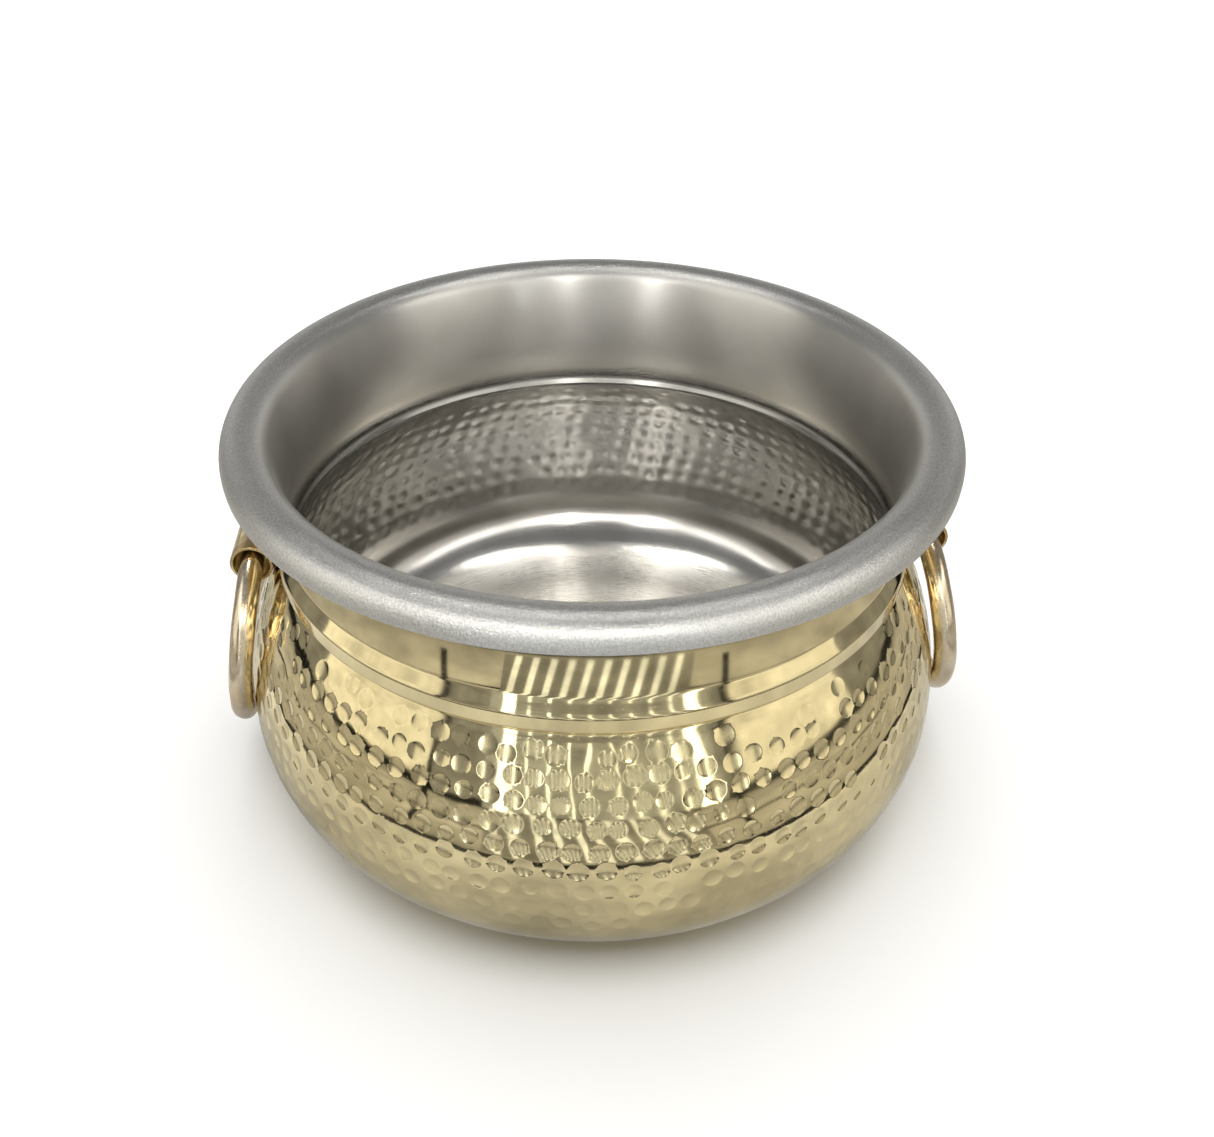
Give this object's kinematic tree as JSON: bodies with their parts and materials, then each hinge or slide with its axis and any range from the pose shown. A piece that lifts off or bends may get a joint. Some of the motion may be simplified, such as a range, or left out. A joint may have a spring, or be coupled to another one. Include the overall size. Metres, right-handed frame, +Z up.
{
  "type": "urli bowl",
  "caption": "Round hammered brass pot with a rolled lip, a raised bead below the neck, a tinned inside and swinging ring handles in brazed tube lugs.",
  "frame": {"origin": "centre of the base, on the surface that the bowl stands on", "axes": "+Z up along the bowl's axis, X through the two ring handles"},
  "size_m": [0.2864, 0.2692, 0.155],
  "materials": {
    "hammered_brass": "polished, hammered all round the belly",
    "tin": "wiped tin coat, satin, brushed round the floor and sandy on the lip",
    "lug_brass": "bent sheet, polished outside, dark inside",
    "braze": "rough filler metal, heat-darkened",
    "ring_brass": "drawn rod, polished, warm with heat tint on the inner side"
  },
  "bodies": {
    "bowl": {"bowl_shell": "hammered_brass", "tin_lining": "tin", "right_lug": "lug_brass", "left_lug": "lug_brass", "right_braze": "braze", "left_braze": "braze"},
    "right_ring": {"right_ring": "ring_brass"},
    "left_ring": {"left_ring": "ring_brass"}
  },
  "joints": [
    {"name": "right_ring_swing", "type": "hinge", "parent": "bowl", "child": "right_ring", "pos_m": [0.127, 0, 0.0957], "axis": [0, -1, 0], "range_deg": [0, 165]},
    {"name": "left_ring_swing", "type": "hinge", "parent": "bowl", "child": "left_ring", "pos_m": [-0.127, 0, 0.0957], "axis": [0, 1, 0], "range_deg": [0, 165]}
  ]
}
